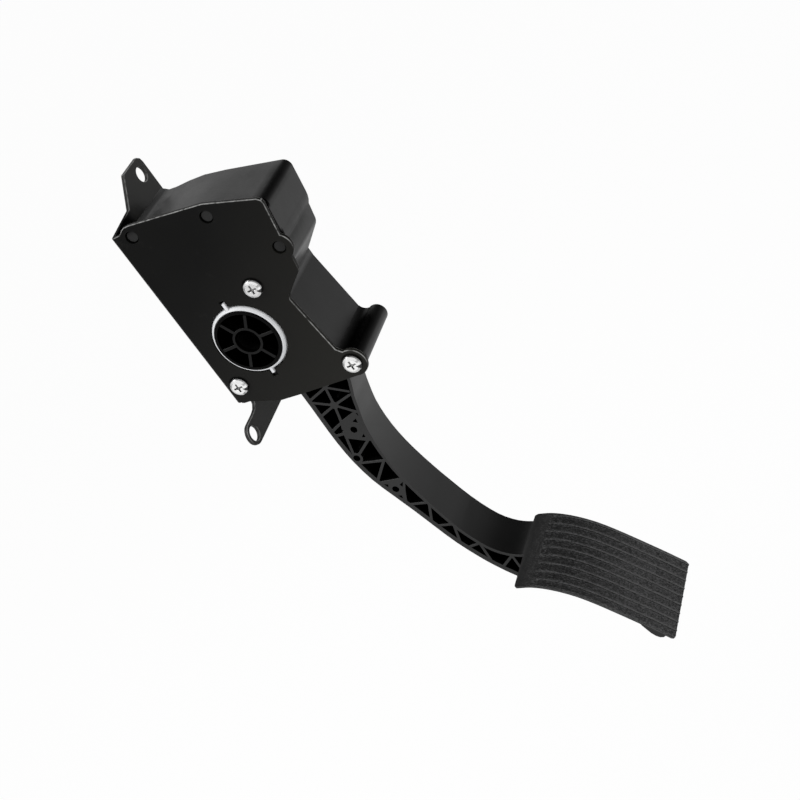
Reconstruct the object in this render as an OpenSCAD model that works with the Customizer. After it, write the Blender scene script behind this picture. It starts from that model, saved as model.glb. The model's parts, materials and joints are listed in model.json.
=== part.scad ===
// Hanging accelerator pedal: a folded steel bracket, a moulded casing with a return spring and
// friction lever, a lattice arm with its ribbed pad, and a contactless position sensor.
// Millimetres. x = 0 is the mounting face, +x points at the driver, +z is up,
// y = 0 is the arm's mid-plane and z = 0 is level with the pivot.
// Outlines are drawn about the pivot axis and moved forward by pivot_x.

/* [Pivot and travel] */
// Distance from the mounting face to the pivot axis
pivot_x = 27; // [26.5:0.5:28]
// Radius of the pedal's drum inside the casing
drum_r = 18.5; // [17.5:0.5:18.5]
// Radius of the two journals that the pedal turns on
journal_r = 15.2; // [14.5:0.1:15.5]
// Radial running clearance of the journals in their bushes
run_gap = 0.05; // [0.02:0.01:0.1]
// Clearance of pieces that are pushed together and stay still
fit_gap = 0.05; // [0.02:0.01:0.1]
// Gap between a stop and the arm when they rest on each other
stop_gap = 0.3; // [0.2:0.05:0.5]

/* [Bracket] */
// Thickness of the steel sheet
sheet_t = 2; // [1.5:0.5:2]
// Distance from the mid-plane to the outer face of the side plate
plate_y = 15.5; // [15.5:0.5:17]
// Outer radius of the fold between the flange and the side plate
fold_r = 2.5; // [2.2:0.1:3]
// Diameter of the two mounting holes
mount_d = 7; // [6.6:0.1:8.4]
// Upper mounting hole, sideways and height
upper_mount = [27.2, 72.7];
// Lower mounting hole, sideways and height
lower_mount = [-20, -41];
// Radius of the rounded end of the lower ear
lower_ear_r = 5.3; // [5:0.1:6]
// Radius of the lobe around the front screw
screw_lobe_r = 6.7; // [6:0.1:7.5]
// Radius of the lobe around the front locating peg
peg_lobe_r = 6.2; // [5.5:0.1:7]

/* [Screws and pegs] */
// Upper bracket screw, forward of the pivot axis and above it
upper_screw = [18, 21];
// Lower bracket screw
lower_screw = [-19.3, -18.9];
// Front bracket screw
front_screw = [36.4, -28.1];
// Radius of the bracket screws' heads
head_r = 4.3; // [4:0.1:4.6]
// Height of the bracket screws' heads over the side plate
head_h = 1.9; // [1.5:0.1:2.5]
// Core radius of the bracket screws' shanks
shank_r = 1.75; // [1.5:0.05:2]
// Length of the bracket screws below the head
shank_len = 14; // [10:1:18]
// Locating pegs of the casing, forward of the pivot axis and above it
pegs = [[-17, 62.8], [20, 57.3], [40.4, 32.7]];
// Radius of a locating peg
peg_r = 2.6; // [2.2:0.1:2.7]
// Radial clearance of the pegs in the holes of the side plate
peg_gap = 0.3; // [0.1:0.05:0.5]
// How far the pegs' ends lie below the side plate's outer face
peg_below = 0.8; // [0.3:0.1:1.2]

/* [Casing] */
// Distance from the mid-plane to the casing's far outer face
case_y = 19; // [18.5:0.5:19.5]
// Thickness of the casing's walls
wall = 2.2; // [2:0.1:2.4]
// Thickness of the casing's far wall
far_wall = 2.8; // [2.4:0.1:3]
// Centre of the column around the front screw, forward of the pivot axis and above it
column_at = [38.3, -27.5];
// Radius of the column at the side plate
column_r = 4.8; // [4.6:0.1:5.4]
// Radius of the column at its far end
column_end_r = 4.4; // [4:0.1:4.6]
// How far the front column stands past the casing's far face
column_out = 1.5; // [0:0.5:2]
// Distance from the mounting face to the back of the casing
case_back = 3.2; // [3:0.1:3.5]

/* [Bushes] */
// Wall thickness of the bushes
bush_t = 1.9; // [1.5:0.1:2.2]
// How far the bushes' hidden collars reach out past the bushes
collar_w = 1.9; // [1.6:0.1:2]
// How far the near bush stands proud of the side plate
bush_out = 1; // [0.6:0.1:2]
// How far the hub stands past the near bush
hub_out = 0.5; // [0:0.1:1]
// Reach of the near bush's key tabs from the axis
tab_r = 19.8; // [19:0.1:20.4]

/* [Hub] */
// Depth of the pockets between the hub's spokes
pocket_depth = 11; // [6:0.5:12]
// Number of spokes in the hub
spokes = 6; // [5:1:8]
// Thickness of a spoke
spoke_t = 1.5; // [1.2:0.1:2.4]
// Outer radius of the ring in the middle of the hub
ring_r = 6.9; // [6:0.1:7.5]

/* [Arm] */
// Half width of the arm at the casing
arm_half_top = 8.7; // [8:0.1:9]
// Half width of the arm at the pad
arm_half_pad = 11.5; // [10:0.1:12]
// Thickness of the arm's front flange
flange_t = 1.5; // [1.2:0.1:2]
// Thickness of the arm's rear flange
rear_flange_t = 2.4; // [1.6:0.1:3]
// Thickness of the lattice ribs
rib_t = 1.4; // [1.1:0.1:2]
// Thickness of the web between the two open sides
web_t = 2.4; // [2:0.2:4]
// Radius of the small round holes beside the lattice
dimple_r = 1.6; // [1.2:0.1:2]

/* [Pad] */
// Near side edge of the pad
pad_near = -32.8; // [-34:0.1:-31]
// Far side edge of the pad
pad_far = 16.3; // [14:0.1:17]
// Thickness of the pad
pad_t = 2; // [1.6:0.1:2.6]
// Thickness of the pad along its side edges
pad_edge_t = 0.9; // [0.8:0.1:1.5]
// Number of long ribs on the pad
pad_ribs = 9; // [5:1:11]
// Distance from the near side edge to the first rib
pad_rib_start = 5; // [4:0.5:6]
// Distance from the last rib to the far side edge
pad_rib_end = 1.7; // [1.2:0.1:3]
// Height of the long ribs
pad_rib_h = 0.5; // [0.3:0.05:0.8]
// Width of a long rib
pad_rib_w = 0.9; // [0.7:0.1:2]

/* [Return spring] */
// Height of the springs' axis above the pivot
spring_z = 39; // [38:0.5:40]
// Face of the tail that carries the spring seat, forward of the pivot axis
tail_x = 4.2; // [4:0.1:4.5]
// Face of the friction lever that the springs push on, forward of the pivot axis
lever_x = 35; // [34.5:0.1:35.5]
// Mean radius of the outer spring
outer_r = 8.2; // [8:0.1:8.4]
// Wire radius of the outer spring
outer_wire = 0.9; // [0.7:0.1:1]
// Mean radius of the inner spring
inner_r = 5.4; // [5.2:0.1:5.6]
// Wire radius of the inner spring
inner_wire = 0.6; // [0.5:0.1:0.7]

/* [Friction lever] */
// Pin of the friction lever, forward of the pivot axis and above it
lever_pin = [31.5, 25];
// Radius of the lever's pin
pin_r = 2.5; // [2:0.1:2.6]
// Thickness of the friction lining
lining_t = 1.8; // [1.5:0.1:2]
// Outer radius of the shoe behind the lining
shoe_r = 25; // [24.5:0.1:25.2]

/* [Sensor] */
// Width of the sensor cover
cover_w = 40; // [38:1:42]
// Height of the sensor cover
cover_h = 44; // [42:1:44]
// Depth of the sensor cover
cover_d = 11; // [10.5:0.5:12]
// Wall thickness of the sensor cover
cover_t = 2; // [1.8:0.1:2.2]
// Outer width of the connector socket
socket_w = 24; // [24:1:26]
// Outer depth of the connector socket
socket_d = 10; // [10:0.5:11]
// Height of the connector socket above the cover
socket_h = 20; // [16:1:20]
// Number of connector pins
pin_count = 6; // [4:1:6]

/* [Hidden] */
$fn = 96;
eps = 0.01;
pivot = [0, 0];
plate_in = -(plate_y - sheet_t);
wall_in = case_y - far_wall;
drum_near = plate_in + 1.3;
drum_far = wall_in - 1.2;
bush_r = journal_r + bush_t;
bush_hole_r = bush_r + fit_gap;
peg_hole_r = peg_r + peg_gap;
pad_rib_pitch = (pad_far - pad_near - pad_rib_start - pad_rib_end) / (pad_ribs - 1);
far_hub_y = case_y - 0.5;
lower_boss_r = 2.9;
hub_face = -plate_y - bush_out - hub_out;
// How far the pedal turns when it is pressed fully, in degrees
travel = 15;
// Foremost and rearmost places of the arm in the casing's mouth
arm_front_x = 26.4;
arm_rear_x = -0.4;

// A flat outline in x and z, given thickness from y0 to y1
module slab(y0, y1) {
    translate([0, y1, 0]) rotate([90, 0, 0]) linear_extrude(y1 - y0) children();
}

// A flat outline in y and z, given thickness from x0 to x1
module sheet(x0, x1) {
    translate([x0, 0, 0]) rotate([90, 0, 90]) linear_extrude(x1 - x0) children();
}

// A round bar along y about the point p in x and z
module rod(p, r, y0, y1) {
    translate([p[0], y1, p[1]]) rotate([90, 0, 0]) cylinder(r = r, h = y1 - y0);
}

// A tube along y about the point p
module tube(p, r_out, r_in, y0, y1) {
    difference() {
        rod(p, r_out, y0, y1);
        rod(p, r_in, y0 - 1, y1 + 1);
    }
}

// Puts what is drawn about the pivot axis in its place from the mounting face
module placed() { translate([pivot_x, 0, 0]) children(); }

// A flat strip of width w from a to b with round ends left off
module strip(a, b, w) {
    d = b - a;
    translate(a) rotate(atan2(d[1], d[0])) translate([-w / 3, -w / 2]) square([norm(d) + w / 1.5, w]);
}

function unit(v) = v / norm(v);
function knot(p, i) = p[max(0, min(len(p) - 1, i))];

// One point of a smooth curve between b and c
function smooth(a, b, c, d, t) =
    0.5 * (2 * b + (c - a) * t + (2 * a - 5 * b + 4 * c - d) * t * t + (3 * b - a - 3 * c + d) * t * t * t);

// A smooth curve through the points p with n pieces in each span
function curve(p, n) = concat(
    [for (i = [0 : len(p) - 2]) for (k = [0 : n - 1])
        smooth(knot(p, i - 1), p[i], p[i + 1], knot(p, i + 2), k / n)],
    [p[len(p) - 1]]);

function left_of(a, b) = let (t = unit(b - a)) [-t[1], t[0]];

// A closed outline with its edges moved to their left by d
function inset(p, d) = [for (i = [0 : len(p) - 1])
    let (n = len(p), u = left_of(p[(i + n - 1) % n], p[i]), v = left_of(p[i], p[(i + 1) % n]))
    p[i] + d * (u + v) / (1 + u * v)];

// An open line moved to its left by d
function beside(p, d) = [for (i = [0 : len(p) - 1])
    let (u = left_of(knot(p, i - (i == len(p) - 1 ? 1 : 0)), knot(p, i + (i == len(p) - 1 ? 0 : 1))),
        v = i == 0 ? u : left_of(p[i - 1], p[i]))
    p[i] + d * (u + v) / (1 + u * v)];

function reverse(p) = [for (i = [len(p) - 1 : -1 : 0]) p[i]];

// Points of an arc about c from angle a0 to a1
function arc(c, r, a0, a1, n) =
    [for (k = [0 : n]) let (a = a0 + (a1 - a0) * k / n) c + r * [cos(a), sin(a)]];

// Outline of the folded bracket's side plate without its lobes, from x = fold_r on
plate_pts = [[fold_r - pivot_x, 65.9], [-22, 66], [-20.7, 66.5], [-19.4, 67.5], [-17.6, 68.2],
    [-14.8, 68.2], [21.9, 63.3], [44.9, 55.6],
    [46.4, 54.2], [46.7, 52.3], [44, 36.3], [43.2, 27.5], [42.1, 21.2], [41.1, 19.8], [30.9, 12],
    [29.6, 9.6], [33.3, -19.3], [35.5, -21.6], [36.5, -34.7], [4.6, -33.5], [-5.7, -32.9],
    [-20, -28], [-23.1, -27.8], [fold_r - pivot_x, -27.2]];

// Outline of the flange in y and z, with both ears
flange_pts = concat(
    [[-plate_y + fold_r, -26.5], [-8.4, -27], [-6.6, -28.8], [-6.3, -31.5], [-7.2, -33.6], [-9.4, -35],
        [-12.5, -35.5]],
    arc(lower_mount, lower_ear_r, 90, 270, 18),
    [[10, -45.6], [14, -44.8], [17.5, -41.5], [17.5, 42], [33.5, 58], [33.5, 75.7], [32.9, 77.9],
        [30.7, 79.4], [16.8, 79.2], [5, 67.8], [-plate_y + fold_r, 65.9]]);

module mounting_bracket() {
    color("#1b1b1c") placed() {
        slab(-plate_y, plate_in) difference() {
            union() {
                polygon(plate_pts);
                translate(pegs[2]) circle(peg_lobe_r);
                translate(front_screw) circle(screw_lobe_r);
            }
            translate(pivot) circle(bush_hole_r);
            for (s = [-1, 1]) translate(pivot) square_tab(s, 2.6, tab_r + 0.9);
            for (p = pegs) translate(p) circle(peg_hole_r);
            for (p = [upper_screw, lower_screw, front_screw]) translate(p) circle(shank_r + 0.5);
        }
        translate([fold_r - pivot_x, fold_r - plate_y, -27]) rotate(180) rotate_extrude(angle = 90)
            translate([fold_r - sheet_t, 0]) square([sheet_t, 92.9]);
        sheet(-pivot_x, sheet_t - pivot_x) difference() {
            polygon(flange_pts);
            translate(upper_mount) circle(d = mount_d);
            translate(lower_mount) circle(d = mount_d);
        }
    }
}

// A tab or notch of width w that reaches out to r, above (s = 1) or below (s = -1) the axis
module square_tab(s, w, r) {
    translate([-w / 2, s > 0 ? bush_r - 2.5 : -r]) square([w, r - bush_r + 2.5]);
}

// Outline of the moulded casing in x and z
case_pts = [[case_back - pivot_x, -26.8], [case_back - pivot_x, 57], [-19.7, 63.8], [-15.2, 66],
    [-13.2, 64.8], [-12, 63.9], [-7.8, 63.5], [-0.5, 63.5], [7.5, 63], [18, 60.9], [31.5, 57.6],
    each arc([42.8, 50.8], 3.8, 77, -6, 7), [44.7, 37.6], [44.3, 35.8], [43.6, 34], [42.4, 32.2],
    [40.9, 25], [40.5, 24], [39.6, 22.8], [29.2, 13.9], [29.2, 10], [33.2, -20.2],
    each arc([36.9, -19.1], 3.8, 197, 275, 6), [38.2, -30], [36.3, -34.2], [30, -34.2], [4.5, -32.3],
    [-5.7, -31.8], [-20.1, -27.2]];
// The same outline without its small lips, from which the inside is taken
case_core = [[case_back - pivot_x, -27], [case_back - pivot_x, 58], [-19, 63], [7.5, 63],
    [18, 60.8], [31.5, 57.3], [46, 52.6], [44.1, 35.2], [42.4, 32.6], [40.5, 23.4], [29.5, 13.8],
    [29.1, 10.5], [32.8, -18.5], [30.9, -22], [30.9, -34], [-5.7, -31.8]];
cavity_pts = inset(case_core, -wall);

// Passage that the arm swings in, at the bottom of the casing
mouth_rear = -11.1;
mouth_front = 28.9;
arm_door = [[mouth_rear - 0.1, -40], [mouth_rear - 0.1, -20], [-4.5, -12], [21.5, -12],
    [mouth_front, -22], [mouth_front, -40]];

module case_inside_2d() {
    difference() {
        union() {
            polygon(cavity_pts);
            polygon(arm_door);
        }
        translate(upper_screw) circle(4);
        translate(column_at) circle(column_r);
        translate(lower_screw) circle(lower_boss_r);
        translate([mouth_rear - 2, -36]) square([2, 13]);
    }
}

// Tapering column that the front bracket screw goes into
module column() {
    translate([column_at[0], case_y + column_out, column_at[1]]) rotate([90, 0, 0])
        cylinder(r1 = column_end_r, r2 = column_r, h = case_y + column_out - plate_in);
}

module housing() {
    color("#202021") placed() difference() {
        union() {
            difference() {
                union() {
                    slab(plate_in, case_y) polygon(case_pts);
                    column();
                    rod(lower_screw, lower_boss_r, plate_in + 1.2, wall_in);
                }
                slab(plate_in - 1, wall_in) case_inside_2d();
            }
            slab(plate_in, plate_in + 4) intersection() {
                polygon(case_pts);
                for (p = pegs) translate(p) circle(3.8);
            }
            for (p = pegs) rod(p, peg_r, -plate_y + peg_below, plate_in + 0.6);
            for (p = cover_screw_places()) rod(p, 3, wall_in - 6.5, wall_in + 1);
        }
        rod(pivot, bush_hole_r, wall_in - 1, case_y + 1);
        for (p = [upper_screw, lower_screw, front_screw])
            rod(p, shank_r + fit_gap, plate_in - 1, plate_in + shank_len);
        rod(lever_pin, pin_r + fit_gap, wall_in - 1, wall_in + 1.5);
        for (p = cover_screw_places()) rod(p, 1.35, wall_in - 5.5, case_y + 1);
    }
}

// A pan head screw that goes in along +y, its head's underside on the plane y
module pan_screw(p, y, r, h, core, len) {
    translate([p[0], y, p[1]]) rotate([-90, 0, 0]) difference() {
        union() {
            rotate_extrude() polygon([[0, -h], [r * 0.7, -h], [r * 0.93, -h * 0.72], [r, -h * 0.4], [r, 0],
                [core, 0], [core, len - 1], [core * 0.6, len], [0, len]]);
        }
        for (a = [0, 90]) rotate(a) translate([-r * 0.52, -r * 0.1, -h - 1])
            cube([r * 1.04, r * 0.2, h + 0.6]);
        translate([0, 0, -h - 1]) cylinder(r = r * 0.2, h = h + 1);
    }
}

module bracket_screw(p) {
    color("#c9cbcc") placed() pan_screw(p, -plate_y, head_r, head_h, shank_r, shank_len);
}

module upper_bracket_screw() { bracket_screw(upper_screw); }
module lower_bracket_screw() { bracket_screw(lower_screw); }
module front_bracket_screw() { bracket_screw(front_screw); }

module near_bush() {
    color("#f2f2f0") placed() {
        tube(pivot, bush_r, journal_r + run_gap, -plate_y, drum_near - 0.1);
        translate([0, -plate_y, 0]) rotate([90, 0, 0]) rotate_extrude()
            polygon([[journal_r + run_gap, -1], [bush_r, -1], [bush_r, 0.1], [bush_r - bush_out, bush_out],
                [journal_r + run_gap, bush_out]]);
        tube(pivot, bush_r + collar_w, bush_r - 1, plate_in + eps, drum_near - 0.1);
        for (s = [-1, 1]) slab(-plate_y - 0.6, plate_in + eps * 2) intersection() {
            translate(pivot + [0.45, 0]) square_tab(s, 1.4, tab_r);
            translate(pivot) difference() {
                circle(s > 0 ? tab_r : tab_r - 1.2);
                circle(bush_r - 1);
            }
        }
    }
}

module far_bush() {
    color("#f2f2f0") placed() {
        tube(pivot, bush_r, journal_r + run_gap, drum_far + 0.1, case_y - eps);
        tube(pivot, bush_r + collar_w - 0.6, bush_r - 1, drum_far + 0.1, wall_in - eps);
    }
}

// The arm's front edge from the drum to the start of the pad
front_pts = [[18.5, -12], [23.7, -21], [26, -28], [arm_front_x, -34], [25.3, -39.7], [22.2, -46.9],
    [20.2, -53.6], [18.1, -61.5], [17, -71.5], [17.1, -81.7], [18.5, -93], [21.3, -105.5],
    [24.2, -116], [27.9, -127.8], [32.6, -138], [36.8, -144.2], [41.6, -148.4], [45.4, -150.4],
    [48, -151.3]];

// The arm's rear edge from the drum to the underside of the pad
rear_pts = [[-11.5, -13], [-4, -22], [-0.5, -29], [arm_rear_x, -36], [-0.4, -44.7], [-0.6, -53.5],
    [-0.2, -66], [1.1, -77.5], [4, -89.3], [8.7, -101], [13.2, -111.8], [17.5, -123],
    [22.1, -134.8], [27.4, -145.5], [32, -153.2], [38.4, -162], [46.5, -170.3], [56.5, -178.2],
    [67.5, -184.5], [78.5, -187.5], [87.5, -186.5]];

// The pad's upper face from its start to its free end
pad_pts = [[48, -151.3], [51.5, -152.1], [55.5, -153.2], [60.5, -155.6], [66.5, -159.6], [73, -165.2],
    [78.9, -171.8], [84.7, -179.1], [90.3, -186.4], [95.7, -193.6], [101.7, -202]];

front_edge = curve(front_pts, 2);
rear_edge = curve(rear_pts, 2);
pad_top = curve(pad_pts, 2);
pad_low = beside(pad_top, -pad_t);

// The part of the pad's underside that the arm meets, up to the place x
function pad_low_to(x) = [for (p = pad_low) if (p[0] < x) p];

arm_outline = concat([pivot], front_edge, pad_low_to(86.5), reverse(rear_edge));

// Half width of the arm as an outline in y and z, wider towards the pad
arm_grow = arm_half_pad - arm_half_top;
arm_plan = [[-arm_half_top, 60], [-arm_half_top, -53], [-arm_half_top - 0.66 * arm_grow, -94],
    [-arm_half_pad, -128], [-arm_half_pad, -200], [arm_half_pad, -200], [arm_half_pad, -128],
    [arm_half_top + 0.66 * arm_grow, -94], [arm_half_top, -53], [arm_half_top, 60]];
// Tail above the drum that carries the return springs
tail_pts = [[-11.5, 12], [-7.5, 24], [-2.5, 40], [-1.3, 49], [tail_x, 49], [tail_x, 29], [7, 21],
    [13.5, 11]];

// Inside of the arm's flanges, where the lattice pockets are
pocket_front = beside(front_edge, -flange_t);
pocket_rear = beside(rear_edge, rear_flange_t);
pocket_outline = concat(
    [for (p = pocket_front) if (p[1] < -30.5) p],
    [for (p = beside(pad_top, -pad_t - flange_t)) if (p[0] > 49.5 && p[0] < 79.5) p],
    reverse([for (p = pocket_rear) if (p[1] < -30.5 && p[0] < 76.5) p]));

// Lattice ribs as pairs of ends
star = [10.5, -47.8];
lattice = [
    [[1, -41.6], [11, -38.4]], [[13.1, -33], star], [[11.5, -37.6], [21.1, -43.9]],
    [[11.1, -38.2], [21.5, -34.5]], [star, [21.5, -45.3]], [star, [18.3, -54.8]], [[18, -54.3], [8.3, -57]],
    [star, [7.9, -58]], [star, [0.5, -51]], [star, [0.5, -42.4]], [[8.1, -57.1], [0.5, -60]],
    [[6.5, -62.9], [0.7, -62.3]], [[6, -63.5], [3.5, -74]], [[5.5, -64.6], [16, -69.8]],
    [[14.7, -69.5], [5, -75.6]], [[2.5, -79], [15.8, -82]], [[15.1, -82], [6.5, -90.3]],
    [[18, -93.6], [6.3, -92]], [[16.9, -96], [12, -106]], [[22.1, -109.6], [11.7, -107.2]],
    [[21.9, -110.6], [17.5, -119.8]], [[26.1, -124.4], [19.1, -122.8]], [[26.5, -124.8], [23.7, -135.4]],
    [[31.9, -138.6], [24.7, -139]], [[32.1, -139], [31.7, -152.4]], [[43, -149.9], [34.3, -155.4]],
    [[42.5, -150], [42.7, -166.5]], [[52.5, -154], [42.9, -166]], [[52.5, -154.2], [55.5, -177]],
    [[64.5, -161], [55.5, -176.5]], [[64.5, -161.5], [68.5, -184]], [[75, -170.5], [68.1, -183]]];

// Solid areas between the ribs
solid_areas = [
    [[7.7, -56.6], [17.1, -54.2], [18.5, -60], [17.5, -70.5], [14.1, -70], [5.5, -65.4], [5.1, -62.6]],
    [[17.3, -93.2], [6.5, -91.4], [7.5, -95], [11.3, -104.8], [12.9, -104.4], [18.1, -96]]];

// Small round holes: centres on the lattice side
dimples = [[11.5, -62.4], [3.9, -76.4], [11.7, -97.7]];

// Small three-cornered holes beside the round ones
nicks = [[[13.4, -58.4], [15.7, -57.6], [15.3, -59.9]], [[12.8, -67.2], [14.4, -66], [14.4, -67.9]],
    [[3.1, -60.4], [5.7, -58.8], [6.5, -61.6]], [[7.9, -93.4], [9.7, -94.2], [8.9, -95.6]],
    [[15, -96], [17.1, -95.3], [15.5, -97.6]], [[10.7, -101.3], [12.3, -101.8], [11.9, -103.6]]];

module lattice_pockets_2d() {
    difference() {
        polygon(pocket_outline);
        for (r = lattice) strip(r[0], r[1], rib_t);
        for (a = solid_areas) polygon(a);
        for (p = dimples) translate(p) circle(dimple_r + 1.3);
        translate(star) circle(2.1);
    }
}

module pedal_arm() {
    color("#222223") placed() {
        difference() {
            union() {
                intersection() {
                    slab(-20, 20) union() {
                        polygon(arm_outline);
                        polygon(tail_pts);
                    }
                    sheet(-40, 120) polygon(arm_plan);
                }
                rod(pivot, drum_r, drum_near, drum_far);
                rod(pivot, journal_r, hub_face, drum_near + 1);
                rod(pivot, journal_r, drum_far - 1, far_hub_y);
                pad();
            }
            for (s = [-1, 1]) {
                slab(s > 0 ? web_t / 2 : -20, s > 0 ? 20 : -web_t / 2) lattice_pockets_2d();
                slab(s > 0 ? 6 : -20, s > 0 ? 20 : -6) {
                    for (p = dimples) translate(p) circle(dimple_r);
                    for (n = nicks) polygon(n);
                }
            }
            slab(-20, hub_face + pocket_depth) translate(pivot) hub_pockets_2d();
            rod(pivot, carrier_r + fit_gap, far_hub_y - carrier_depth, far_hub_y + 1);
        }
    }
}

module hub_pockets_2d() {
    difference() {
        circle(journal_r - 1.5);
        circle(ring_r);
        for (k = [0 : spokes - 1]) rotate(360 / spokes * k) translate([0, -spoke_t / 2])
            square([20, spoke_t]);
    }
    circle(ring_r - 1.2);
}

// Plan of the pad across its width, with cut start corners: distance along x against y
pad_plan = [[47.7, pad_near + 4], [48.1, pad_near + 0.9], [48.9, pad_near], [98.5, pad_near],
    [106, pad_near], [106, pad_far], [49.3, pad_far], [48.1, pad_far - 1], [47.4, pad_far - 5]];

module pad() {
    difference() {
        union() {
            intersection() {
                union() {
                    slab(pad_near, pad_far) polygon(concat(pad_top, reverse(beside(pad_top, -pad_edge_t))));
                    slab(pad_near + 1.6, pad_far - 1.6) polygon(concat(pad_top, reverse(pad_low)));
                }
                translate([0, 0, -210]) linear_extrude(70) polygon(pad_plan);
            }
            for (k = [0 : pad_ribs - 1]) pad_rib(pad_near + pad_rib_start + k * pad_rib_pitch);
            pad_rib(pad_near + 0.9);
            pad_stiffener();
        }
        for (s = [0, 1]) end_corner(s);
    }
}

// A long rib that rises out of the pad's face near its start and runs to the free end
rib_from = 4;
module pad_rib(y) {
    base = [for (i = [rib_from : len(pad_top) - 1]) pad_top[i]];
    n = len(base) - 1;
    crest = [for (i = [0 : n]) let (t = min(1, i / 4), v = knot(base, i + 1) - knot(base, i - 1))
        base[i] + pad_rib_h * t * unit([-v[1], v[0]])];
    slab(y - pad_rib_w / 2, y + pad_rib_w / 2)
        polygon(concat(crest, reverse(beside(base, -0.4))));
}

// Rib under the pad's free end
module pad_stiffener() {
    a = pad_low[len(pad_low) - 1];
    d = unit(pad_low[len(pad_low) - 2] - a);
    n = [d[1], -d[0]];
    under = n[1] < 0 ? n : -n;
    slab(pad_near + 2.5, pad_far - 2.5) polygon([a + 3 * d - 0.5 * under, a + 3.6 * d + 2.6 * under,
        a + 5 * d + 3.7 * under, a + 7 * d + 4 * under, a + 9.5 * d + 3.7 * under,
        a + 15 * d + 2 * under, a + 19 * d - 0.5 * under]);
}

// Rounds the free end's near (s = 0) and far (s = 1) corner
module end_corner(s) {
    tip = pad_pts[len(pad_pts) - 1];
    along = unit(tip - pad_pts[len(pad_pts) - 2]);
    slope = atan2(along[1], along[0]);
    y = s == 0 ? pad_near : pad_far;
    r = 2;
    translate([tip[0], y, tip[1]]) rotate([0, -slope, 0]) translate([0, 0, -6]) difference() {
        translate([-r, s == 0 ? -1 : -r, 0]) cube([r + 1, r + 1, 12]);
        translate([-r, s == 0 ? r : -r, -1]) cylinder(r = r, h = 14);
    }
}

// Cup on the tail that holds the ends of both springs, its axis along x
module spring_seat() {
    color("#3a3a3c") placed() difference() {
        union() {
            translate([tail_x, 0, spring_z]) rotate([0, 90, 0]) cylinder(r = 9.6, h = 1.8);
            translate([tail_x, 0, spring_z]) rotate([0, 90, 0]) cylinder(r = 4, h = 6.5);
        }
        translate([tail_x + 1.8, 0, spring_z]) rotate([0, 90, 0]) cylinder(r = 2.2, h = 6);
    }
}

spring_from = tail_x + 1.85;
spring_len = lever_x - 0.05 - spring_from;

// Cut through a coil by a plane across its axis
function coil_section(r, w, pitch, n) = concat(
    [for (k = [-n : n]) coil_point(r, w, pitch, k / n, 1)],
    [for (k = [n - 1 : -1 : -n + 1]) coil_point(r, w, pitch, k / n, -1)]);
function coil_point(r, w, pitch, t, side) =
    let (a = 360 * w * sin(90 * t) / pitch, d = w * cos(90 * t) * side) (r + d) * [cos(a), sin(a)];

// A coil spring along x, hand is 1 or -1
module coil(r, w, turns, hand) {
    pitch = (spring_len - 2 * w) / turns;
    translate([spring_from + w, 0, spring_z]) rotate([0, 90, 0])
        linear_extrude(spring_len - 2 * w, twist = -360 * turns * hand, slices = turns * 16, $fn = 12)
        polygon(coil_section(r, w, pitch * hand, 4));
}

module outer_spring() {
    color("#8f9295") placed() coil(outer_r, outer_wire, 6, 1);
}

module inner_spring() {
    color("#8f9295") placed() coil(inner_r, inner_wire, 8, -1);
}

module friction_lever() {
    color("#2b2c2e") placed() difference() {
        union() {
            slab(-9, 11) {
                translate(lever_pin) circle(4.2);
                polygon([[27.5, 27], [23.3, 18], [22.5, 8.5], [24.8, 8.5], [25.7, 14.6], [32, 21.2]]);
                polygon([[28.7, 28.2], [lever_x, 30], [lever_x, 29.2], [lever_x + 2.2, 29.2], [35.3, 26]]);
                shoe_2d(drum_r + stop_gap + lining_t, shoe_r);
            }
            sheet(lever_x, lever_x + 2.2) translate([-9, 29.2]) square([18, 19.6]);
            translate([lever_x - 4, 0, spring_z]) rotate([0, 90, 0]) cylinder(r = 4, h = 5);
        }
        rod(lever_pin, pin_r + fit_gap, -20, 20);
    }
}

// Part of a ring about the pivot, on the driver's side of the drum
module shoe_2d(r_in, r_out) {
    translate(pivot) intersection() {
        difference() {
            circle(r_out);
            circle(r_in);
        }
        polygon([[0, 0], 40 * [cos(-17), sin(-17)], 40 * [cos(22), sin(22)]]);
    }
}

module friction_lining() {
    color("#7a6a55") placed() slab(-8, 10) shoe_2d(drum_r + stop_gap, drum_r + stop_gap + lining_t);
}

module lever_pin_shaft() {
    color("#b4b7ba") placed() rod(lever_pin, pin_r, plate_in + 0.2, wall_in + 1.4);
}

module idle_stop_pad() {
    face = arm_front_x + 0.05 + stop_gap;
    color("#161616") placed() translate([face, -6, -33.6]) cube([mouth_front - face, 12, 5.6]);
}

module full_stop_pad() {
    face = arm_rear_x * cos(travel) - 31.8 * sin(travel) - stop_gap;
    color("#161616") placed() translate([mouth_rear, -6, -31]) cube([face - mouth_rear, 12, 7]);
}

carrier_r = 10.9;
carrier_depth = 5;
magnet_y = far_hub_y + 2;

module magnet_carrier() {
    color("#4a4b4d") placed() difference() {
        union() {
            rod(pivot, carrier_r, far_hub_y - carrier_depth + 0.1, far_hub_y);
            rod(pivot, 8.4, far_hub_y - 1, magnet_y + 1.6);
        }
        difference() {
            rod(pivot, 7.2, magnet_y, magnet_y + 3);
            rod(pivot, 4.4, magnet_y - 1, magnet_y + 4);
        }
    }
}

module magnets() {
    color("#6b6f75") placed() slab(magnet_y, magnet_y + 1.5) translate(pivot) difference() {
        circle(7.15);
        circle(4.45);
        square([20, 0.8], center = true);
    }
}

function cover_screw_places() =
    [for (sx = [-1, 1]) for (sz = [-1, 1]) pivot + [(cover_w / 2 - 4) * sx, (cover_h / 2 - 2.6) * sz]];

cover_far = case_y + cover_d;
cavity_w = cover_w - 6;
cavity_h = cover_h - 13;
board_y = magnet_y + 2.8;
board_t = 1.6;

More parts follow.
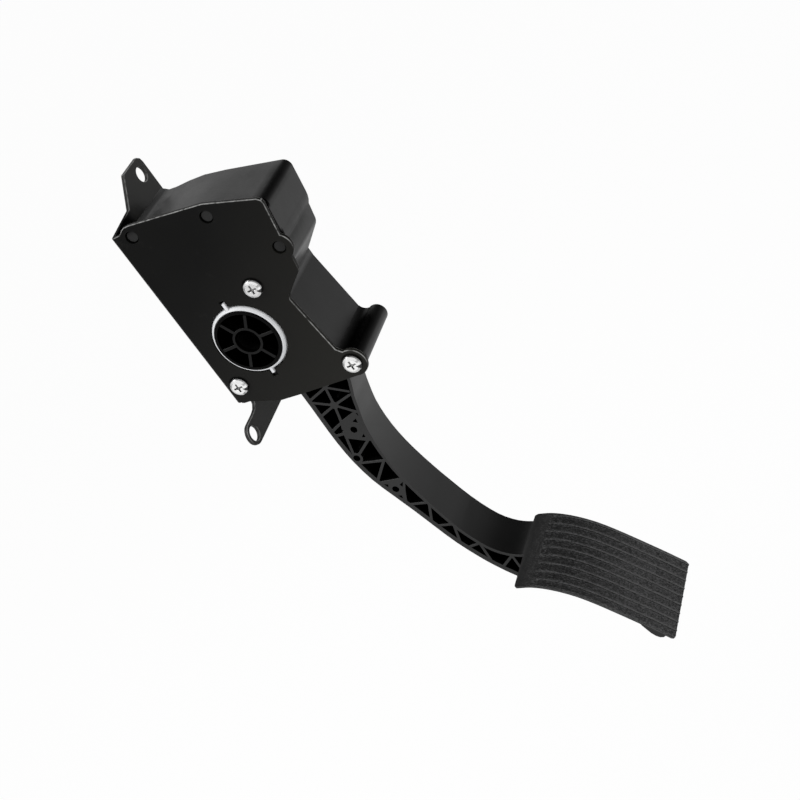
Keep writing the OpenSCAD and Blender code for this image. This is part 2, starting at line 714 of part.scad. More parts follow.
module sensor_cover() {
    color("#242425") placed() difference() {
        union() {
            slab(case_y, cover_far) translate(pivot) square([cover_w, cover_h], center = true);
            slab(cover_far - socket_d, cover_far) translate(pivot + [0, (cover_h + socket_h) / 2])
                square([socket_w, socket_h], center = true);
            translate([-3, cover_far - 0.01, cover_h / 2 + 10]) cube([6, 1.6, 5]);
        }
        difference() {
            slab(case_y - 1, cover_far - cover_t) translate(pivot)
                square([cavity_w, cavity_h], center = true);
            for (p = stake_places()) {
                rod(p, 1.2, board_y - 0.4, cover_far);
                rod(p, 2.2, board_y + board_t, cover_far);
            }
        }
        seal_ring(1, 0.95);
        slab(cover_far - socket_d + 2, cover_far - 2) translate(pivot + [0, cover_h / 2 + 2 + socket_h / 2])
            square([socket_w - 4, socket_h], center = true);
        for (k = [0 : pin_count - 1]) pin_bar(k, 0.85, cavity_h / 2 - 1, cover_h / 2 + 3);
        for (p = cover_screw_places()) rod(p, 1.5, case_y - 1, cover_far + 1);
    }
}

function stake_places() =
    [for (sx = [-1, 1]) for (sz = [-1, 1]) pivot + [(cavity_w / 2 - 3.5) * sx, (cavity_h / 2 - 3.5) * sz]];

// Square ring around the cover's cavity, in the joint with the casing
module seal_ring(w, depth) {
    slab(case_y - (w < 1 ? 0 : 1), case_y + depth) translate(pivot) difference() {
        square([cover_w - 4 + w, cover_h - 10.6 + w], center = true);
        square([cover_w - 4 - w, cover_h - 10.6 - w], center = true);
    }
}

module sensor_seal() {
    color("#b5562b") placed() seal_ring(0.9, 0.9);
}

module sensor_board() {
    color("#1f5b39") placed() slab(board_y, board_y + board_t) translate(pivot) difference() {
        square([cavity_w - 1, cavity_h - 1], center = true);
        for (p = stake_places()) translate(p - pivot) circle(1.3);
    }
}

module hall_sensors() {
    color("#101011") placed() for (s = [-1, 1])
        translate([3.4 * s - 2, board_y - 0.6, -2.5]) cube([4, 0.6, 5]);
}

// One flat connector pin of width w, from z0 to z1
module pin_bar(k, w, z0, z1) {
    pitch = 2.8;
    x = (k - (pin_count - 1) / 2) * pitch;
    translate([x - w / 2, board_y + board_t - (w - 0.64) / 2, z0]) cube([w, w, z1 - z0]);
}

module connector_pins() {
    color("#c8a24a") placed() for (k = [0 : pin_count - 1]) pin_bar(k, 0.64, 8, cover_h / 2 + socket_h - 6);
}

module cover_screws() {
    color("#8d9093") placed() for (p = cover_screw_places())
        translate([p[0], cover_far, p[1]]) rotate([90, 0, 0]) difference() {
            rotate_extrude() polygon([[0, -1.8], [1.8, -1.8], [2.5, -1.2], [2.6, 0], [1.3, 0], [1.3, 15],
                [0.8, 16], [0, 16]]);
            for (a = [0, 90]) rotate(a) translate([-1.4, -0.3, -2]) cube([2.8, 0.6, 1.3]);
        }
}

mounting_bracket();
housing();
upper_bracket_screw();
lower_bracket_screw();
front_bracket_screw();
near_bush();
far_bush();
pedal_arm();
spring_seat();
outer_spring();
inner_spring();
friction_lever();
friction_lining();
lever_pin_shaft();
idle_stop_pad();
full_stop_pad();
magnet_carrier();
magnets();
sensor_cover();
sensor_seal();
sensor_board();
hall_sensors();
connector_pins();
cover_screws();
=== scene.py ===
"""Looks of the hanging accelerator pedal: finishes, rounded edges, return springs, camera, light and floor."""

import json
import math

import bmesh
import bpy
from mathutils import Matrix, Vector
from mathutils.bvhtree import BVHTree


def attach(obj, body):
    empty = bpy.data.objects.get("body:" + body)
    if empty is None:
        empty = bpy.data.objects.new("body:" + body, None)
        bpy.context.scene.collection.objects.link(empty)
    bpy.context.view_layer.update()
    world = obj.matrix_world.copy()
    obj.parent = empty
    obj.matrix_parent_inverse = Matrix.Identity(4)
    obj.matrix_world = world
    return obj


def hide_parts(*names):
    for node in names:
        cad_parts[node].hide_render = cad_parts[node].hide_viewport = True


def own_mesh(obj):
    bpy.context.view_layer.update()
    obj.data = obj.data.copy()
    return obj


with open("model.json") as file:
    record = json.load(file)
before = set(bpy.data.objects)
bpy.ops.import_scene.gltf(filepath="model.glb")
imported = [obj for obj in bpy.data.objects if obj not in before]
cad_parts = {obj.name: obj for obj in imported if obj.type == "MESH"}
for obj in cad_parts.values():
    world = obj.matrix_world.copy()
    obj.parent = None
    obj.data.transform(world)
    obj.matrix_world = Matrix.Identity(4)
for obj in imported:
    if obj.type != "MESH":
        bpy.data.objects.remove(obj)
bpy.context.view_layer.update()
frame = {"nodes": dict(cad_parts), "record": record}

MM = 0.001

# The hub: its axis along X, the outer radius of its face and the inner radius of its rim, in millimetres
HUB_X = 27
HUB_RADIUS = 16.5
HUB_RIM = 13.4
HUB_FACE_Y = -14.6

# Places of the bracket screws along X and Z, and the radius of their heads, in millimetres
SCREWS = ((45, 21), (7.7, -18.9), (63.4, -28.1))
HEAD_RADIUS = 4.6

# Holes of the side plate, whose edges stay black: place and reach, in millimetres
PLATE_HOLES = ((10, -15.5, 62.8, 4), (47, -15.5, 57.3, 4), (67.4, -15.5, 32.7, 4), (45, -15.5, 21, 5),
               (7.7, -15.5, -18.9, 5), (63.4, -15.5, -28.1, 5.2), (HUB_X, -15.5, 0, 25))

# Shaded places of the casing, in millimetres: X, Z, reach, strength and the greatest Y.
# The shade fades out over a width before SHADE_FADE_Y, so ANY_Y sets no limit.
ANY_Y = 40
CASE_SHADE = (
    (65.3, -23.3, 4.3, 1.35, ANY_Y),  # hollow beside the front column
    (10.5, 68, 4, 0.7, ANY_Y),  # rear of the top
    (72.3, 53.3, 4, 0.5, ANY_Y),  # top front corner
    (58, 64, 14, 0.18, ANY_Y),  # front half of the top
    (69.6, 32.4, 5, 0.3, ANY_Y),  # step
    (73.5, 51.5, 2, 1.2, -11.8),  # gap at the side plate's upper corner
    (72.5, 36.5, 2.2, 1.2, -12),  # gap above the side plate's front lobe
)
SHADE_FADE_Y = 20
SHADE_FADE_WIDTH = 12

# Just behind the near faces of the casing's pegs, which stand in the side plate's holes, in millimetres
PEG_FACE_Y = -15.4

# The bracket, in millimetres: in front of its flange, behind and within its side plate, and where its ears begin
FLANGE_X = 2.5
BEHIND_PLATE_Y = -13
IN_PLATE_Y = -14.9
UPPER_EAR_Z = 50
LOWER_EAR_Z = -26

# The foot pad, in millimetres: its first edge and its length along X, its first rib and the ribs' spacing
PAD_START = 75
PAD_LENGTH = 52
PAD_BLEND = 2
RIB_START = -27.8
RIB_PITCH = 5.3
RIB_HALF_WIDTH = 1.3

# Reach of the dark shade in corners and pockets, in millimetres
POCKET_REACH = 9.0
RECESS_REACH = 1.6

BLACK = (0.0, 0.0, 0.0)
# Edge grey: wear and a painted highlight
EDGE_WEAR_AND_HIGHLIGHT_GREY = (0.05, 0.05, 0.05)
# Pad grey: scuffing and painted light
SCUFF_AND_HIGHLIGHT_GREY = (0.085, 0.085, 0.086)
COAT_DARK, COAT_LIGHT = (0.0016, 0.0016, 0.0014), (0.0034, 0.0034, 0.0031)
COAT_RUBBED = (0.016, 0.016, 0.0152)
# Painted light: a lighter, warmer coat low at the front
COAT_WARM_LIT = (0.0125, 0.0121, 0.0102)
# Painted light on the ears
COAT_EAR_LIGHT = (0.030, 0.030, 0.029)
BARE_STEEL = (0.55, 0.55, 0.54)
CASE_DARK, CASE_LIGHT = (0.0028, 0.0028, 0.0027), (0.0044, 0.0044, 0.0043)
ARM_DARK, ARM_LIGHT = (0.0030, 0.0030, 0.0030), (0.0045, 0.0045, 0.0045)
# Painted shade of the casing and of the arm
CASE_PAINTED_SHADE = (0.0004, 0.0004, 0.0004)
ARM_PAINTED_SHADE = (0.001, 0.001, 0.001)


class Num:
    """A socket that adds Math nodes when it is used in an expression."""

    def __init__(self, paint, socket):
        self.paint, self.socket = paint, socket

    def math(self, operation, *values):
        return self.paint.node("ShaderNodeMath", {"operation": operation}, *values)

    def __add__(self, other):
        return self.math("ADD", self, other)

    def __sub__(self, other):
        return self.math("SUBTRACT", self, other)

    def __rsub__(self, other):
        return self.math("SUBTRACT", other, self)

    def __mul__(self, other):
        return self.math("MULTIPLY", self, other)

    def __truediv__(self, other):
        return self.math("DIVIDE", self, other)

    def __rtruediv__(self, other):
        return self.math("DIVIDE", other, self)

    def __abs__(self):
        return self.math("ABSOLUTE", self)

    def __pow__(self, other):
        return self.math("POWER", self, other)

    def __lt__(self, other):
        return self.math("LESS_THAN", self, other)

    def __gt__(self, other):
        return self.math("GREATER_THAN", self, other)

    __radd__ = __add__
    __rmul__ = __mul__

    def limit(self, low, high):
        return self.math("MINIMUM", self.math("MAXIMUM", self, low), high)

    def clamp(self):
        return self.limit(0.0, 1.0)

    def outputs(self, *keys):
        """The outputs of this socket's node that the keys name."""
        return [Num(self.paint, self.socket.node.outputs[key]) for key in keys]


class Paint:
    """The nodes of a new material, or of the world."""

    def __init__(self, name, owner=None):
        self.owner = owner or bpy.data.materials.new(name)
        self.owner.use_nodes = True
        self.tree = self.owner.node_tree
        self.tree.nodes.clear()

    def node(self, kind, settings=None, *values, out=0, at=(), **sockets):
        """Adds a node. Values go to its first inputs, at holds pairs of input number and value."""
        made = self.tree.nodes.new(kind)
        for key, value in (settings or {}).items():
            setattr(made, key, value)
        named = [(key.replace("_", " "), value) for key, value in sockets.items()]
        for key, value in [*enumerate(values), *at, *named]:
            self.put(made.inputs[key], value)
        return Num(self, made.outputs[out]) if len(made.outputs) else None

    def put(self, socket, value):
        if isinstance(value, Num):
            self.tree.links.new(value.socket, socket)
        elif isinstance(value, tuple) and len(value) == 3 and socket.type == "RGBA":
            socket.default_value = (*value, 1.0)
        else:
            socket.default_value = value

    def place(self, scale=(1, 1, 1), turn=(0, 0, 0)):
        here = self.node("ShaderNodeTexCoord", out="Object")
        return self.node("ShaderNodeMapping", None, here, Scale=scale, Rotation=turn)

    def noise(self, size, detail=3.0, rough=0.5, stretch=(1, 1, 1)):
        """Noise from 0 to 1 whose marks are about size millimetres across."""
        where = self.place(tuple(s / (size * MM) for s in stretch))
        return self.node("ShaderNodeTexNoise", None, where, Scale=1.0, Detail=detail, Roughness=rough)

    def parts_of(self, coordinates):
        """The X, Y and Z of an output of Texture Coordinate."""
        vector = self.node("ShaderNodeTexCoord", out=coordinates)
        return self.node("ShaderNodeSeparateXYZ", None, vector).outputs("X", "Y", "Z")

    def arris(self):
        """1 along the rounded outer edges of a piece, most on the upper ones as a painted highlight, 0 on its
        faces.
        """
        return self.node("ShaderNodeAttribute", {"attribute_name": "arris"}, out="Fac")

    def hollow(self, reach):
        """1 deep in corners and pockets, 0 in the open; reach in millimetres."""
        open_share = self.node("ShaderNodeAmbientOcclusion", {"samples": 6}, Distance=reach * MM, out="AO")
        return ((0.78 - open_share) * 2.0).clamp()

    def near(self, at_x, at_z):
        """Distance from a line along Y, and its parts along X and Z, in millimetres."""
        x, y, z = self.parts_of("Object")
        across, rise = x / MM - at_x, z / MM - at_z
        return (across * across + rise * rise) ** 0.5, across, rise

    def shade_at(self, places):
        """1 at shaded places, which fade out over their reach and towards the far side."""
        if not places:
            return 0.0
        y = self.parts_of("Object")[1]
        fade = ((SHADE_FADE_Y * MM - y) / (SHADE_FADE_WIDTH * MM)).clamp()
        total = 0.0
        for at_x, at_z, reach, strength, last in places:
            spot = (1.3 - self.near(at_x, at_z)[0] / reach).clamp() * fade
            total = spot * (y < last * MM) * strength + total
        return total.clamp()

    def screw_wedge(self):
        """1 in a painted dark reflection, a sector on the lower right of each bracket screw's head."""
        total = 0.0
        for place in SCREWS:
            far, across, rise = self.near(*place)
            along, beside = across * 0.86 - rise * 0.5, abs(across * 0.5 + rise * 0.86)
            total = ((along - 1.9) * 0.5 - beside > 0.0) * (far < HEAD_RADIUS + 0.4) + total
        return total.clamp()

    def screw_rim(self):
        """1 in a painted shadow, a thin crescent above and beside each bracket screw's head."""
        total = 0.0
        for place in SCREWS:
            far, across, rise = self.near(*place)
            rim = (1.0 - abs(far - HEAD_RADIUS) / 0.75).clamp()
            upper = ((rise + across * 0.35) / 2.5).clamp()
            total = rim * upper + total
        return total.clamp()

    def colour(self, amount, first, second):
        """Mixes two colours; the Mix node's colour sockets are its inputs 0, 6 and 7 and its output 2."""
        return self.node("ShaderNodeMix", {"data_type": "RGBA"}, out=2, at=((0, amount), (6, first), (7, second)))

    def bump(self, height, strength, depth, round_edge=0.0):
        """A normal from a height of 0 to 1, depth in millimetres, with edges rounded by round_edge."""
        values = {"Strength": strength, "Distance": depth * MM, "Height": height}
        if round_edge:
            values["Normal"] = self.node("ShaderNodeBevel", {"samples": 6}, round_edge * MM)
        return self.node("ShaderNodeBump", None, **values)

    def finish(self, **sockets):
        shader = self.node("ShaderNodeBsdfPrincipled", None, **sockets)
        self.node("ShaderNodeOutputMaterial", None, shader)
        return self.owner


def spread(noise, low, high):
    """Takes a noise of about 0.3 to 0.7 to the range from low to high."""
    return (noise - 0.3) * ((high - low) / 0.4) + low


def share(noise):
    """Takes a noise of about 0.3 to 0.7 to 0 to 1."""
    return spread(noise, 0.0, 1.0).clamp()


def sheet_coat():
    """Thin satin black coat on pressed steel: uneven, lighter and warmer low at the front as painted light, ears
    lighter as painted light, steel at the edges from wear and as a painted highlight, and painted shadow and
    shade by the screws and the upper ear.
    """
    p = Paint("sheet_coat")
    cloud = p.noise(30, 2)
    grain = p.noise(0.35, 2, 0.6)
    rub = (p.noise(9, 4, 0.7) - 0.62) * 8
    shade = p.colour(cloud, COAT_DARK, COAT_LIGHT)
    shade = p.colour(rub.clamp() * 0.35, shade, COAT_RUBBED)
    x, y, z = p.parts_of("Object")
    at_flange = 1.0 - ((x - FLANGE_X * MM) / (2 * MM)).clamp()
    # Painted light: the plate lighter and a little warmer towards its low front
    low_front = ((x * 0.8 - z * 0.8 + 8 * MM) / (75 * MM)).clamp() * (y < BEHIND_PLATE_Y * MM)
    shade = p.colour(low_front, shade, COAT_WARM_LIT)
    # Painted light: the ears lighter, the upper one most on its far side
    upper_ear = at_flange * ((z - UPPER_EAR_Z * MM) / (4 * MM)).clamp() * (y > IN_PLATE_Y * MM)
    lower_ear = at_flange * ((LOWER_EAR_Z * MM - z) / (5 * MM)).clamp()
    painted_ear_light = (lower_ear + upper_ear * ((y + 2 * MM) / (9 * MM)).clamp()).clamp()
    shade = p.colour(painted_ear_light, shade, COAT_EAR_LIGHT)
    # Steel at the edges: partly edge wear, partly a painted highlight, mostly on upper edges
    steel_edge_wear_and_highlight = p.arris() * ((p.noise(2.5, 3, 0.6) - 0.3) * 3.5).clamp() * (1.0 - at_flange * 0.45)
    shade = p.colour(steel_edge_wear_and_highlight, shade, BARE_STEEL)
    # Painted shadow around the screws' heads and painted shade on the upper ear near the casing
    painted_shadow_and_shade = (p.screw_rim() + upper_ear * ((4 * MM - y) / (7 * MM)).clamp()).clamp()
    shade = p.colour(painted_shadow_and_shade, shade, BLACK)
    rough = spread(cloud, 0.34, 0.44) + (grain - 0.5) * 0.08
    return p.finish(Base_Color=shade, Roughness=rough, Metallic=(steel_edge_wear_and_highlight * 0.8 + painted_shadow_and_shade).clamp(),
                    Specular_IOR_Level=0.125, Normal=p.bump(grain, 0.35, 0.02))


def moulding(name, dark, light, specular, grain_size=0.5, places=()):
    """Fibre-filled moulding: fine die grain, faint flow clouds, edges lighter grey from wear and a painted
    highlight, and painted shade in pockets, on the pegs' faces and at given places.
    """
    p = Paint(name)
    cloud = p.noise(18, 3)
    fibre = p.noise(1.2, 3, 0.6, stretch=(1, 1, 0.2))
    grain = p.noise(grain_size, 2, 0.6)
    shade = p.colour(share(cloud), dark, light)
    # Edges lighter grey: partly wear, partly a painted highlight, mostly on upper edges
    grey_edge_wear_and_highlight = p.arris() * ((p.noise(3, 3, 0.6) - 0.3) * 3).clamp()
    shade = p.colour(grey_edge_wear_and_highlight * 0.6, shade, EDGE_WEAR_AND_HIGHLIGHT_GREY)
    y = p.parts_of("Object")[1]
    # Painted shade in corners and pockets, on the pegs' faces in the side plate's holes and at the given shaded
    # places; it darkens the colour and hides the gloss
    painted_shade = (p.hollow(POCKET_REACH) + (y < PEG_FACE_Y * MM) * 0.7 + p.shade_at(places)).clamp()
    shade = p.colour(painted_shade, shade, CASE_PAINTED_SHADE)
    rough = spread(cloud, 0.32, 0.40) + (fibre - 0.5) * 0.10 + painted_shade * 0.35
    return p.finish(Base_Color=shade, Roughness=rough, Metallic=painted_shade, Specular_IOR_Level=specular,
                    Normal=p.bump(grain + fibre * 0.5, 0.5, 0.012))


def tread_moulding():
    """The arm's moulding: painted shade on the hub's face and in pockets, and a foot pad lighter grey towards its
    free end and most of all along its ribs, partly from scuffing, partly as painted light and highlights.
    """
    p = Paint("arm_and_pad_moulding")
    cloud = p.noise(18, 3)
    grain = p.noise(0.5, 2, 0.6)
    x, y, z = p.parts_of("Object")
    along = ((x - PAD_START * MM) / (PAD_LENGTH * MM)).clamp()
    forward, sideways, upward = p.parts_of("Normal")
    trodden = ((forward + upward) * 3.0).clamp()
    on_pad = ((x - PAD_START * MM) * (1.0 / (PAD_BLEND * MM))).clamp() * trodden
    rib = abs(p.node("ShaderNodeMath", {"operation": "PINGPONG"}, y - RIB_START * MM, RIB_PITCH * MM / 2))
    rib = (1.15 - rib / (RIB_HALF_WIDTH * MM)).clamp()
    streak = p.noise(0.35, 2, 0.6, stretch=(0.35, 1, 0.35))
    speck = p.noise(0.3, 2, 0.6)
    shade = p.colour(share(cloud), ARM_DARK, ARM_LIGHT)
    # Edges lighter grey: partly wear, partly a painted highlight
    shade = p.colour(p.arris() * 0.6, shade, EDGE_WEAR_AND_HIGHLIGHT_GREY)
    # The pad lighter grey towards its free end and along its ribs: partly scuffing, partly painted light, darker
    # at its start, with painted highlights on the rib crests
    scuff_and_light_along = (along * 1.1 - 0.09).limit(0.0, 0.75) * 0.78
    rib_scuff_and_highlight = (rib * 0.66 - 0.24) * (along * 8.0 - 1.0).clamp()
    rough_spots = ((streak - 0.5) * 4.2 + (speck - 0.5) * 3.4) * (along * 6.0).limit(0.1, 1.0)
    shade = p.colour(on_pad * (scuff_and_light_along + rib_scuff_and_highlight + rough_spots).clamp(), shade, SCUFF_AND_HIGHLIGHT_GREY)
    # Painted shade on the hub's face by the side plate, darkest at its rim
    far = p.near(HUB_X, 0)[0]
    hub = (far < HUB_RADIUS) * (y < HUB_FACE_Y * MM) * ((far > HUB_RIM) * 0.3 + 0.58)
    # Painted shade in pockets away from the pad, added to the hub's
    painted_shade = (p.hollow(POCKET_REACH) * (1.0 - on_pad) + hub).clamp()
    shade = p.colour(painted_shade, shade, ARM_PAINTED_SHADE)
    rough = spread(cloud, 0.32, 0.40) + on_pad * 0.16 + (streak - 0.5) * on_pad * 0.2
    return p.finish(Base_Color=shade, Roughness=rough, Metallic=painted_shade, Specular_IOR_Level=0.5,
                    Normal=p.bump(grain + (streak * on_pad) * 2.0, 0.5, 0.015))


def plated(name, tint, rough_low, rough_high, dark_reflection=False):
    """Plated or ground metal with a few darker spots and painted shade in its recesses."""
    p = Paint(name)
    cloud = p.noise(1.6, 3)
    spots = ((p.noise(0.5, 2) - 0.62) * 10).clamp()
    shade = p.colour(spots * 0.5, tint, tuple(c * 0.72 for c in tint))
    # Painted shade in recesses
    shade = p.colour(p.hollow(RECESS_REACH) * 0.8, shade, tuple(c * 0.22 for c in tint))
    # A painted dark reflection on each screw head's lower right
    if dark_reflection:
        shade = p.colour(p.screw_wedge() * 0.93, shade, BLACK)
    return p.finish(Base_Color=shade, Metallic=1.0, Roughness=spread(cloud, rough_low, rough_high),
                    Normal=p.bump(cloud, 0.15, 0.02, 0.2))


def slide_plastic():
    """White bearing plastic, a bit marked."""
    p = Paint("slide_plastic")
    cloud = p.noise(4, 3)
    shade = p.colour(share(cloud), (0.86, 0.87, 0.885), (0.78, 0.79, 0.81))
    return p.finish(Base_Color=shade, Roughness=spread(cloud, 0.24, 0.36),
                    Normal=p.bump(cloud, 0.1, 0.02, 0.2))


def drawn_wire():
    p = Paint("drawn_wire")
    streak = p.noise(0.4, 3, 0.5, stretch=(0.2, 1, 1))
    shade = p.colour(share(streak), (0.42, 0.43, 0.44), (0.6, 0.6, 0.6))
    return p.finish(Base_Color=shade, Metallic=1.0, Roughness=spread(streak, 0.25, 0.4))


def worn_lining():
    p = Paint("worn_lining")
    fleck = p.noise(0.7, 4, 0.7)
    shade = p.colour(share(fleck), (0.12, 0.09, 0.06), (0.3, 0.24, 0.17))
    return p.finish(Base_Color=shade, Roughness=0.85, Normal=p.bump(fleck, 0.6, 0.08))


def soft_rubber(name, dark, light):
    p = Paint(name)
    cloud = p.noise(1.5, 3)
    shade = p.colour(share(cloud), dark, light)
    return p.finish(Base_Color=shade, Roughness=spread(cloud, 0.6, 0.75), Normal=p.bump(cloud, 0.4, 0.03))


def pressed_magnet():
    p = Paint("pressed_magnet")
    fleck = p.noise(0.4, 3)
    shade = p.colour(share(fleck), (0.12, 0.125, 0.13), (0.2, 0.205, 0.21))
    return p.finish(Base_Color=shade, Metallic=0.6, Roughness=spread(fleck, 0.45, 0.6),
                    Normal=p.bump(fleck, 0.3, 0.02))


def circuit_board():
    """Green lacquer with faint lines of copper under it."""
    p = Paint("circuit_board")
    lines_per_metre = 700
    where = p.place((lines_per_metre,) * 3, (math.pi / 2, 0, 0))
    line = p.node("ShaderNodeTexBrick", {"offset": 0.5}, where, Scale=1.0, Mortar_Size=0.04, out="Fac")
    shade = p.colour(line, (0.012, 0.095, 0.035), (0.03, 0.16, 0.06))
    return p.finish(Base_Color=shade, Roughness=0.35, Normal=p.bump(line, 0.3, 0.03))


FINISHES = {
    "black_coated_steel": sheet_coat(),
    "black_moulding": moulding("case_moulding", CASE_DARK, CASE_LIGHT, 0.5, places=CASE_SHADE),
    "arm_moulding": tread_moulding(),
    "lever_moulding": moulding("lever_moulding", (0.01, 0.01, 0.011), (0.016, 0.016, 0.017), 0.4),
    "cover_moulding": moulding("cover_moulding", CASE_DARK, CASE_LIGHT, 0.5),
    "chip_moulding": moulding("chip_moulding", (0.006, 0.006, 0.006), (0.01, 0.01, 0.01), 0.4, grain_size=0.15),
    "grey_moulding": moulding("grey_moulding", (0.05, 0.05, 0.055), (0.07, 0.07, 0.075), 0.4),
    "plated_screw": plated("zinc_plate", (0.96, 0.96, 0.955), 0.14, 0.26, dark_reflection=True),
    "cover_screw_metal": plated("dark_plate", (0.3, 0.3, 0.31), 0.25, 0.4),
    "ground_pin": plated("ground_steel", (0.6, 0.6, 0.61), 0.15, 0.25),
    "pin_metal": plated("tinned_pin", (0.72, 0.55, 0.26), 0.2, 0.3),
    "white_bush": slide_plastic(),
    "spring_wire": drawn_wire(),
    "lining": worn_lining(),
    "stop_rubber": soft_rubber("stop_rubber", (0.009, 0.009, 0.009), (0.02, 0.02, 0.02)),
    "seal_rubber": soft_rubber("seal_rubber", (0.36, 0.1, 0.035), (0.5, 0.15, 0.05)),
    "magnet": pressed_magnet(),
    "board": circuit_board(),
}

BODY_OF = {n: b for b, names in frame["record"]["behaviour"]["bodies"].items() for n in names}
SLOT_OF = {s["node"]: s["material_slot"] for s in frame["record"]["subparts"]}
for name, thing in frame["nodes"].items():
    thing.data.materials.clear()
    thing.data.materials.append(FINISHES[SLOT_OF[name]])


def put_in_scene(name, data):
    """A new object at the origin that shows the given mesh, light or camera."""
    thing = bpy.data.objects.new(name, data)
    bpy.context.scene.collection.objects.link(thing)
    return thing


def mesh_of(bm, name):
    mesh = bpy.data.meshes.new(name)
    bm.to_mesh(mesh)
    bm.free()
    return mesh


def stand_in(bm, name, node, smooth):
    """Makes a bmesh into a piece that shows a CAD node, with the node's finish and body."""
    mesh = mesh_of(bm, name)
    thing = put_in_scene(name, mesh)
    mesh.materials.append(FINISHES[SLOT_OF[node]])
    mesh.shade_smooth()
    mesh.set_sharp_from_angle(angle=math.radians(smooth))
    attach(thing, BODY_OF[node])
    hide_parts(node)
    return thing


def joined_copy(node):
    """Joins the loose triangles of a CAD node in a copy, and makes each flat face one face."""
    bm = bmesh.new()
    bm.from_mesh(frame["nodes"][node].data)
    bmesh.ops.remove_doubles(bm, verts=bm.verts, dist=0.001 * MM)
    bmesh.ops.dissolve_limit(bm, angle_limit=math.radians(1), verts=bm.verts, edges=bm.edges,
                             use_dissolve_boundaries=False, delimit={"NORMAL"})
    return bm


def round_edges(bm, width, clean):
    """Rounds the outer edges that turn by more than 30 degrees, by width millimetres.

    The rounded edges are marked for wear and, the upper ones most, for a painted highlight, apart from those near
    a place in clean.
    A corner that the bevel pushes out of the shape goes back to its surface.
    """
    before = BVHTree.FromBMesh(bm)
    sharp = [e for e in bm.edges if len(e.link_faces) == 2 and e.is_convex
             and e.calc_face_angle(0) > math.radians(30)]
    made = bmesh.ops.bevel(bm, geom=sharp, offset=width * MM, offset_type="OFFSET", segments=2,
                           profile=0.5, affect="EDGES", material=-1, loop_slide=True)
    strip = set(made["faces"])
    for vert in {v for face in strip for v in face.verts}:
        place, normal, index, gap = before.find_nearest(vert.co)
        if gap > 0.01 * MM and (vert.co - place).dot(normal) > 0:
            vert.co = place
    mark = bm.verts.layers.float.new("arris")
    bm.normal_update()
    for vert in bm.verts:
        if vert.link_faces and all(f in strip for f in vert.link_faces):
            near = any((vert.co - Vector(place) * MM).length < reach * MM for *place, reach in clean)
            # Upward-facing edges get the most, as a painted highlight
            vert[mark] = 0.0 if near else min(max(vert.normal.z * 1.7 + 0.62, 0.0), 1.0)


def slim_ring(bm):
    """Narrows the part of the near bush that stands out of the side plate, about the hub's axis."""
    plate_face_y = -15.55
    ring_radius, top_radius, slim_radius = 17.4, 16.0, 15.75
    for vert in bm.verts:
        across, rise = vert.co.x / MM - HUB_X, vert.co.z / MM
        far = math.hypot(across, rise)
        if vert.co.y < plate_face_y * MM and far < ring_radius:
            wanted = slim_radius + (far - top_radius) * 0.7 if far > 15.8 else far + 0.1
            vert.co.x, vert.co.z = (HUB_X + across * wanted / far) * MM, rise * wanted / far * MM


def rounded_piece(node, name, width, clean=(), shape=None):
    """A copy of a CAD node with its outer edges rounded by width millimetres, shown in place of the node."""
    bm = joined_copy(node)
    if shape:
        shape(bm)
    round_edges(bm, width, clean)
    thing = stand_in(bm, name, node, smooth=32)
    thing.modifiers.new("flat_faces", "WEIGHTED_NORMAL").keep_sharp = True


rounded_piece("mounting_bracket", "pressed_bracket", 0.45, clean=PLATE_HOLES)
rounded_piece("housing", "moulded_casing", 0.35)
rounded_piece("pedal_arm", "moulded_arm", 0.25)
rounded_piece("near_bush", "near_slide_bush", 0.1, shape=slim_ring)
rounded_piece("far_bush", "far_slide_bush", 0.15)
rounded_piece("sensor_cover", "moulded_cover", 0.3)
rounded_piece("spring_seat", "moulded_spring_seat", 0.25)
rounded_piece("friction_lever", "moulded_friction_lever", 0.25)
rounded_piece("magnet_carrier", "moulded_magnet_carrier", 0.2)


def return_spring(node, name):
    """A copy of a coil with its own mesh, shown in place of the CAD node."""
    thing = stand_in(joined_copy(node), name, node, smooth=60)
    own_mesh(thing)


return_spring("outer_spring", "outer_return_coil")
return_spring("inner_spring", "inner_return_coil")

# Camera, worked out from the photograph: place, and its right, up and back directions
CAMERA_PLACE = (0.42802, -0.53807, 0.23813)
CAMERA_AXES = ((0.80892, 0.25674, -0.5289), (0.28994, 0.6084, 0.73877), (0.51145, -0.75096, 0.41771))
camera_data = bpy.data.cameras.new("camera")
camera_data.lens = 73.74
camera_data.sensor_width = 36
camera_data.clip_start = 0.01
camera = put_in_scene("camera", camera_data)
camera.matrix_world = Matrix.Translation(CAMERA_PLACE) @ Matrix(CAMERA_AXES).transposed().to_4x4()
bpy.context.scene.camera = camera


def softbox(name, place, aim, width, height, radiance):
    """A soft light of a given size whose surface has a given brightness, 1 being white."""
    data = bpy.data.lights.new(name, "AREA")
    data.shape = "RECTANGLE"
    data.size, data.size_y = width, height
    data.energy = radiance * math.pi * width * height
    turn = (Vector(aim) - Vector(place)).to_track_quat("-Z", "Y").to_matrix().to_4x4()
    put_in_scene(name, data).matrix_world = Matrix.Translation(place) @ turn


softbox("back_left_box", (-0.125, 0.35, 0.285), (0.03, 0, 0.06), 0.28, 0.26, 0.8)
softbox("key_box", (-0.305, -0.26, 0.52), (0.03, 0, 0.02), 0.35, 0.35, 4.0)


def ray_kinds(p):
    """1 where a surface is seen by the camera, in gloss, or through something clear."""
    return p.node("ShaderNodeLightPath").outputs("Is Camera Ray", "Is Glossy Ray", "Is Transmission Ray")


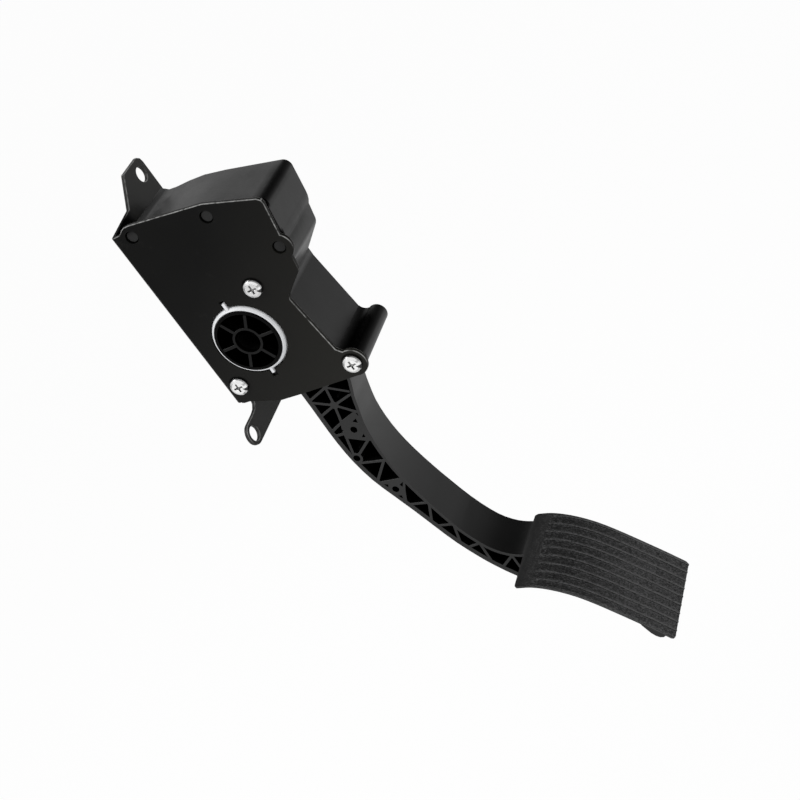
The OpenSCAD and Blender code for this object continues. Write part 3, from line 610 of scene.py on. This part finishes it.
def studio():
    """White for the camera, plain light for matt surfaces, a bright front and a dark room for gloss."""
    world = bpy.data.worlds.new("studio")
    p = Paint("studio", world)
    plain = 0.85
    in_camera, in_gloss, in_clear = ray_kinds(p)
    x, y, z = p.parts_of("Generated")
    front = ((y * -1.0 + 0.1) * 1.4).clamp()
    side = ((x + 0.35) * 1.2).clamp()
    low = ((0.45 - z) * 1.6).clamp()
    room = (low * side * 0.30 + 0.02) * (1.0 - front) + front * plain
    level = in_gloss * room + (1.0 - in_gloss) * plain
    seen = (in_camera + in_clear).clamp()
    level = level * (1.0 - seen) + seen
    p.node("ShaderNodeOutputWorld", None, p.node("ShaderNodeBackground", None, (1.0, 1.0, 1.0), level))
    bpy.context.scene.world = world


def floor():
    """Plain pale floor below the hanging pedal, white to the camera and brightest nearby in gloss."""
    drop, half_width = -0.34, 4.0
    bm = bmesh.new()
    bmesh.ops.create_grid(bm, x_segments=1, y_segments=1, size=half_width)
    bmesh.ops.translate(bm, verts=bm.verts, vec=(0, 0, drop))
    mesh = mesh_of(bm, "floor")
    p = Paint("floor_white")
    in_camera, in_gloss, in_clear = ray_kinds(p)
    seen = (in_camera * 0.9 + in_gloss + in_clear).clamp()
    matt = p.node("ShaderNodeBsdfDiffuse", None, (0.9, 0.9, 0.9))
    x, y, z = p.parts_of("Object")
    away = x * x + y * y
    behind = (1.0 / (away * 0.25 + 1.0) * 0.52 + 0.13) * ((y * 0.55).limit(-0.3, 0.25) + 1.0)
    before = (2.2 / (away * 2.2 + 0.6)).limit(0.0, 1.0)
    facing = (y * -4.0 - 0.8).clamp()
    level = behind * (1.0 - facing) + before * facing
    level = in_gloss * level + (1.0 - in_gloss)
    white = p.node("ShaderNodeEmission", None, (1.0, 1.0, 1.0), level)
    p.node("ShaderNodeOutputMaterial", None, p.node("ShaderNodeMixShader", None, seen, matt, white))
    mesh.materials.append(p.owner)
    thing = put_in_scene("floor", mesh)


studio()
floor()
bpy.context.scene.view_settings.view_transform = "Standard"
